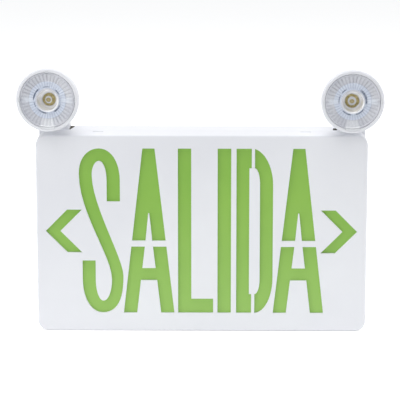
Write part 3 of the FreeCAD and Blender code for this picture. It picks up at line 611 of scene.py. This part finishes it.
def polar_sockets(finish):
    """Flute count and radius in mm, from the optic's own map."""
    chart = finish.nodes.new("ShaderNodeUVMap")
    chart.uv_map = "UVMap"
    split = finish.nodes.new("ShaderNodeSeparateXYZ")
    finish.links.new(chart.outputs["UV"], split.inputs["Vector"])
    return split.outputs["X"], finish.times(split.outputs["Y"], MAP_RADIUS)


def band(finish, value, low, high, soft):
    """1 where value lies between low and high, fading over soft on both sides."""
    rise = finish.maths("DIVIDE", finish.maths("SUBTRACT", value, low - soft / 2), soft, clamp=True)
    fall = finish.maths("DIVIDE", finish.maths("SUBTRACT", high + soft / 2, value), soft, clamp=True)
    return finish.times(rise, fall)


def near(finish, flute, degrees, half):
    """1 at a heading round the lamp axis, fading to 0 at half its width in degrees."""
    heading = finish.times(flute, 360.0 / FLUTES)
    away = finish.maths("PINGPONG", finish.maths("SUBTRACT", heading, degrees), 180.0)
    return finish.maths("SUBTRACT", 1.0, finish.maths("DIVIDE", away, half), clamp=True)


def fluted_plastic(side_name, glints):
    """Clear fluted plastic as it reads over the bright cup: grey outside, bluish inside, painted shade in the
    valleys, painted highlights on the crests, and painted reflections at the sides, at the sole and round the cup.
    """
    finish = Finish(side_name + "_fluted_plastic", (201, 202, 209), (184, 186, 196), patch=60.0,
                    grain=600.0, relief=0.04, gloss=(0.22, 0.34))
    flute, radius = polar_sockets(finish)
    colour = finish.colour

    def lay(tint, *factors):
        """Lays a tint over the colour so far, by the product of the factors."""
        nonlocal colour
        colour = finish.over(finish.times(*factors), colour, tint)

    def around(degrees, half, gain):
        """Like near, but flattened to a broad top."""
        return finish.maths("MULTIPLY", near(finish, flute, degrees, half), gain, clamp=True)

    def mark(distance):
        """1 where the distance to a valley or crest, in flutes, is 0; gone at FLUTE_MARK."""
        return finish.maths("SUBTRACT", 1.0, finish.maths("DIVIDE", distance, FLUTE_MARK, clamp=True))

    from_valley = finish.maths("PINGPONG", flute, 0.5)
    valley = mark(from_valley)
    crest = mark(finish.maths("SUBTRACT", 0.5, from_valley))
    fluted_face = band(finish, radius, *FLUTED_FACE, 0.8)
    bluish_face = band(finish, radius, *BLUISH_FACE, 0.7)

    # painted shade: dark lines in the flute valleys over the fluted face, patchy and strongest on the upper side
    patchy = finish.spread(finish.noise(130.0, 2.0), 0.1, 0.9)
    upper = finish.maths("ADD", finish.times(near(finish, flute, 100.0, 110.0), 0.7), 0.25)
    lay((112, 112, 124), valley, patchy, upper, fluted_face)
    # painted highlight on the crests of the fluted face
    lay((222, 225, 232), crest, 0.35, fluted_face)
    lay((201, 209, 225), bluish_face)
    # painted highlights: bright rays on the crests over the bluish face
    lay((236, 241, 250), crest, finish.spread(finish.noise(170.0, 1.0), 0.1, 0.9), bluish_face)
    # painted shade: darker valleys across the ring of dark rays
    lay((160, 168, 190), valley, 0.42, band(finish, radius, *DARK_RAYS, 0.6))
    # painted reflections: a bright wedge over the sole tab and bright streaks at both sides
    lay((230, 232, 236), around(SOLE, 19.0, 3.0), band(finish, radius, *SOLE_FACE, 1.0), 0.62)
    for heading in (0.0, 180.0):
        lay((226, 232, 242), near(finish, flute, heading, 13.0), band(finish, radius, *SIDE_REFLECTION, 5.0), 0.8)
    flange = finish.times(around(SOLE, 16.0, 6.0), band(finish, radius, *SOLE_FLANGE, 0.6))
    lay((234, 236, 240), finish.maths("MAXIMUM", flange, band(finish, radius, *TAB_FACE, 0.3)))
    # painted highlight on the cup's edge, strongest towards the lower right
    lit_side = finish.maths("ADD", finish.times(near(finish, flute, -50.0, 110.0), 1.2), 0.12, clamp=True)
    lay((248, 249, 252), band(finish, radius, *CUP_EDGE, 0.4), lit_side)
    for heading, reach, low, high in glints:
        lay((66, 82, 110), around(heading, reach, 2.4), band(finish, radius, low, high, 0.35),
            finish.spread(finish.noise(420.0, 2.0), 0.45, 1.0))
    finish.recolour(colour)
    finish.shader.inputs["Coat Weight"].default_value = 0.6
    finish.shader.inputs["Coat Roughness"].default_value = 0.08
    return finish.material


def light_source_finish(side_name, ring_outer, ring_inner):
    """Middle of the optic: white cup, and the phosphor seen as a gold ring and dot through the dome."""
    finish = Finish(side_name + "_light_source", (254, 254, 255), (249, 249, 252), patch=220.0,
                    grain=500.0, relief=0.02, gloss=(0.12, 0.22))
    flute, radius = polar_sockets(finish)
    heading = finish.times(flute, 2 * pi / FLUTES)
    across = finish.times(radius, finish.maths("COSINE", heading))
    up = finish.times(radius, finish.maths("SINE", heading))
    wobble = finish.spread(finish.noise(160.0, 1.0), -0.25, 0.25)

    def span(x, z, stretch=1.0):
        """Distance from a point of the chip's image, squeezed by stretch, with a slight wobble."""
        far_x = finish.maths("SUBTRACT", across, x)
        far_z = finish.maths("DIVIDE", finish.maths("SUBTRACT", up, z), stretch)
        total = finish.maths("ADD", finish.times(far_x, far_x), finish.times(far_z, far_z))
        return finish.maths("ADD", finish.maths("SQRT", total), wobble)

    gold = finish.blend(finish.noise(420.0, 2.0), (188, 172, 108), (146, 130, 66))
    from_ring = span(0.1, -0.7)
    outside = finish.maths("SUBTRACT", 1.0, band(finish, from_ring, 0.0, ring_outer, 0.35))
    inside = band(finish, span(-0.2, -0.6, 1.05), -1.0, ring_inner, 0.4)
    ring = finish.maths("SUBTRACT", 1.0, finish.maths("MAXIMUM", outside, inside))
    dot = band(finish, span(-0.3, -0.8, 0.85), -1.0, CHIP_DOT, 0.5)
    shade = band(finish, from_ring, ring_outer, ring_outer + CHIP_SHADE, 0.5)
    colour = finish.over(finish.times(shade, 0.35), finish.colour, (150, 152, 158))
    colour = finish.over(inside, colour, (214, 215, 219))
    colour = finish.over(ring, colour, gold)
    colour = finish.over(dot, colour, gold)
    finish.recolour(colour)
    finish.shader.inputs["Coat Weight"].default_value = 1.0
    finish.shader.inputs["Coat Roughness"].default_value = 0.03
    return finish.material


# by material slot: light and dark tint, patch, grain, range of gloss, metal
PLAIN_LOOKS = {
    "white_sheet": ((238, 239, 240), (230, 231, 234), 25, 500, (0.3, 0.42), 0),
    "circuit_board": ((46, 112, 68), (34, 92, 54), 120, 900, (0.25, 0.4), 0),
    "white_board": ((234, 235, 236), (224, 226, 228), 90, 800, (0.3, 0.42), 0),
    "led_package": ((232, 208, 96), (214, 186, 70), 300, 1200, (0.2, 0.35), 0),
    "zinc_screw": ((196, 198, 200), (160, 163, 168), 300, 1500, (0.25, 0.42), 1),
    "core_steel": ((128, 128, 130), (96, 96, 99), 160, 1300, (0.35, 0.55), 1),
    "relay_case": ((40, 41, 44), (30, 31, 33), 60, 1100, (0.35, 0.5), 0),
    "can_sleeve": ((38, 44, 70), (26, 30, 52), 90, 900, (0.2, 0.32), 0),
    "terminal_green": ((64, 138, 84), (50, 120, 70), 90, 900, (0.35, 0.5), 0),
    "connector_nylon": ((228, 225, 212), (216, 212, 198), 90, 900, (0.35, 0.5), 0),
    "battery_sleeve": ((58, 96, 168), (44, 78, 146), 50, 500, (0.2, 0.32), 0),
    "strap_steel": ((186, 188, 190), (150, 152, 156), 150, 1500, (0.28, 0.45), 1),
    "black_nylon": ((44, 42, 38), (32, 31, 28), 70, 1100, (0.4, 0.55), 0),
    "red_button": ((196, 44, 38), (176, 34, 30), 90, 900, (0.28, 0.4), 0),
    "aluminium_sink": ((208, 210, 213), (176, 178, 182), 120, 1400, (0.3, 0.46), 1),
    "spring_steel": ((120, 122, 126), (92, 94, 98), 200, 1300, (0.28, 0.42), 1),
}


def plain_finishes():
    """Finishes of the carried-over nodes, by material slot."""
    return {name: Finish(name, light, dark, patch, grain, gloss=gloss, metal=metal).material
            for name, (light, dark, patch, grain, gloss, metal) in PLAIN_LOOKS.items()}


def clear_rod():
    """Clear plastic of the charge light's rod."""
    finish = Finish("clear_plastic", (236, 240, 242), (226, 232, 236), patch=80.0, grain=700.0, relief=0.02,
                    gloss=(0.04, 0.1))
    finish.shader.inputs["Transmission Weight"].default_value = 0.9
    finish.shader.inputs["IOR"].default_value = 1.49
    return finish.material


def dress_nodes(finishes):
    """Gives every carried-over node the finish of its material slot."""
    for part in frame["record"]["subparts"]:
        mesh = nodes[part["node"]].data
        mesh.materials.clear()
        mesh.materials.append(finishes[part["material_slot"]])


# ---- studio ----------------------------------------------------------------------------------------
PAPER_GLOW = 0.6
TABLE_LIFT = 0.4           # mm from the floor to the bright card that lies on it


def seen_directly(tree):
    """1 for camera, mirror and clear-plastic rays."""
    path = tree.nodes.new("ShaderNodeLightPath")
    total = path.outputs["Is Camera Ray"]
    for kind in ("Is Glossy Ray", "Is Transmission Ray"):
        most = tree.nodes.new("ShaderNodeMath")
        most.operation = "MAXIMUM"
        tree.links.new(total, most.inputs[0])
        tree.links.new(path.outputs[kind], most.inputs[1])
        total = most.outputs["Value"]
    return total


def studio_floor(floor_z):
    """White paper that the light stands on, with its shadow."""
    bm = bmesh.new()
    bmesh.ops.create_grid(bm, x_segments=1, y_segments=1, size=3.0)
    bmesh.ops.translate(bm, verts=bm.verts, vec=(0, 0, floor_z))
    mesh = bpy.data.meshes.new("studio_floor")
    bm.to_mesh(mesh)
    bm.free()
    floor = bpy.data.objects.new("studio_floor", mesh)
    bpy.context.scene.collection.objects.link(floor)
    paper = bpy.data.materials.new("studio_paper")
    paper.use_nodes = True
    shader = paper.node_tree.nodes["Principled BSDF"]
    shader.inputs["Base Color"].default_value = (0.8, 0.8, 0.8, 1)
    shader.inputs["Roughness"].default_value = 0.9
    shader.inputs["Specular IOR Level"].default_value = 0.0
    shader.inputs["Emission Color"].default_value = (1, 1, 1, 1)
    strength = paper.node_tree.nodes.new("ShaderNodeMath")
    strength.operation = "MULTIPLY"
    strength.inputs[1].default_value = PAPER_GLOW
    paper.node_tree.links.new(seen_directly(paper.node_tree), strength.inputs[0])
    paper.node_tree.links.new(strength.outputs["Value"], shader.inputs["Emission Strength"])
    mesh.materials.append(paper)


def studio_sky(strength):
    """Even light from all round, seen itself as white."""
    world = bpy.data.worlds.new("studio_sky")
    bpy.context.scene.world = world
    world.use_nodes = True
    tree = world.node_tree
    background = tree.nodes["Background"]
    background.inputs["Color"].default_value = (0.96, 0.98, 1.0, 1)
    background.inputs["Strength"].default_value = strength
    white = tree.nodes.new("ShaderNodeBackground")
    white.inputs["Color"].default_value = (1, 1, 1, 1)
    white.inputs["Strength"].default_value = 1.0
    mix = tree.nodes.new("ShaderNodeMixShader")
    tree.links.new(seen_directly(tree), mix.inputs["Fac"])
    tree.links.new(background.outputs["Background"], mix.inputs[1])
    tree.links.new(white.outputs["Background"], mix.inputs[2])
    tree.links.new(mix.outputs["Shader"], tree.nodes["World Output"].inputs["Surface"])


def soft_lamp(name, place, aim, size, power, depth=None):
    """Round softbox, or a card of the given depth; never seen itself."""
    light = bpy.data.lights.new(name, "AREA")
    light.shape = "DISK" if depth is None else "RECTANGLE"
    light.size = size
    light.size_y = depth or size
    light.energy = power
    lamp = bpy.data.objects.new(name, light)
    lamp.location = place
    lamp.rotation_euler = (Vector(aim) - Vector(place)).to_track_quat("-Z", "Y").to_euler()
    lamp.visible_camera = False
    bpy.context.scene.collection.objects.link(lamp)


def studio_camera():
    lens = bpy.data.cameras.new("studio_camera")
    lens.sensor_width = 36.0
    lens.lens = 190.8
    lens.clip_end = 20.0
    camera = bpy.data.objects.new("studio_camera", lens)
    place, aim = Vector((0.0217, -1.935, 0.4285)), Vector((-0.0018, -0.025, 0.0265))
    camera.location = place
    camera.rotation_euler = (aim - place).to_track_quat("-Z", "Y").to_euler()
    bpy.context.scene.collection.objects.link(camera)
    bpy.context.scene.camera = camera


# ---- build -----------------------------------------------------------------------------------------
bpy.context.scene.view_settings.view_transform = "Standard"
studio_camera()
white = moulded_white()
green = green_sheet()
finishes = plain_finishes()
finishes.update({"white_housing": white, "green_panel": green, "clear_plastic": clear_rod()})
dress_nodes(finishes)
stencil_cover(white, lip_painted_highlight())
for lamp_side, lamp_glints in CUP_GLINTS.items():
    fluted_optic(lamp_side, fluted_plastic(lamp_side, lamp_glints),
                 light_source_finish(lamp_side, *CHIP_RINGS[lamp_side]))
# dark blocks standing in for the shade in the gaps beside the lamp feet: painted shade
shade_block_finish = shade_block_dark()
for lamp_side in SHADE_BLOCK_PLANS:
    foot_shade_block(lamp_side, shade_block_finish)

studio_floor(cad_bounds[0][2])
studio_sky(0.40)
soft_lamp("overhead_front", (-0.15, -0.45, 1.5), (0, 0, 0), 1.6, 14.8)
soft_lamp("overhead_rear", (-0.1, 0.5, 1.4), (0, 0, 0), 1.4, 5.4)
soft_lamp("left_side", (-1.6, -0.35, 0.1), (0, 0, 0), 1.0, 3.8)
soft_lamp("left_front", (-1.6, -1.2, 0.1), (0, 0, 0), 1.0, 6.2)
soft_lamp("right_side", (1.5, 0.1, 0.2), (0, 0, 0), 0.9, 9.0)
table_z = cad_bounds[0][2] + TABLE_LIFT * MM
soft_lamp("table_card", (0, -0.17, table_z), (0, -0.1701, 1.0), 0.9, 0.26, depth=0.24)
